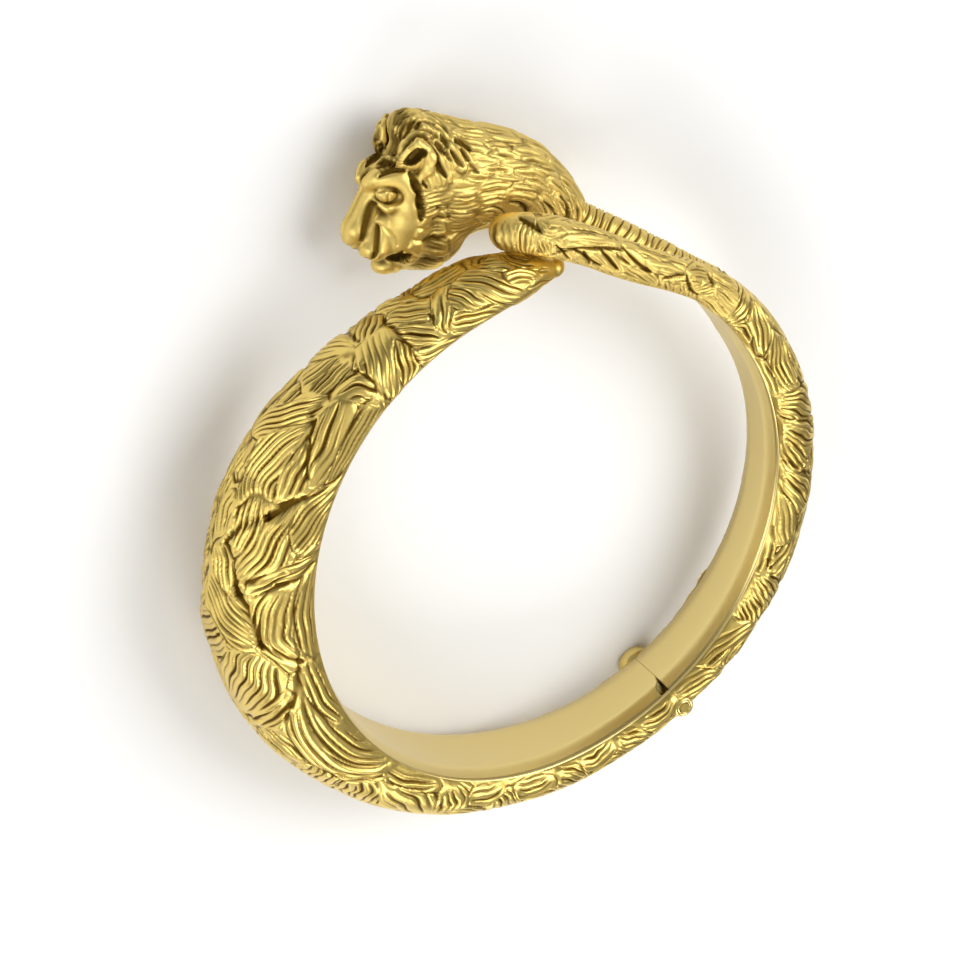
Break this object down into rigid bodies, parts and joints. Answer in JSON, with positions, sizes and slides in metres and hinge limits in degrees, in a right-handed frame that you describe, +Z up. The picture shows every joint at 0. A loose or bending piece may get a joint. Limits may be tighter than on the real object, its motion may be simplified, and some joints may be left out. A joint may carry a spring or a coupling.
{
  "type": "animal head bracelet",
  "caption": "Hinged gold bypass bangle with carved leaf relief; one half splits into two strands that end in a lion's head and a hooked loop over the other half's tip.",
  "frame": {"origin": "centre of the base of the bangle's box, on the surface that it lies on", "axes": "+Z up, away from that surface; the wrist opening's axis leans about 5 degrees from +Z; the lion's head is at -Y and looks towards +X; the hinge is at +Y and -X"},
  "size_m": [0.0728, 0.0796, 0.0174],
  "materials": {
    "carved_gold": "polished cast relief, brown in the recesses",
    "polished_gold": "bright polish"
  },
  "bodies": {
    "head_half": {"back_band": "carved_gold", "lion_head": "carved_gold", "hinge_pin": "polished_gold"},
    "front_half": {"front_band": "carved_gold"}
  },
  "joints": [
    {"name": "bangle_hinge", "type": "hinge", "parent": "head_half", "child": "front_half", "pos_m": [-0.02219, 0.02966, 0.0065], "axis": [-0.0271, 0.0796, 0.9965], "range_deg": [0, 50], "stiffness_Nm_per_rad": 0.02, "springref_deg": -20.05}
  ]
}
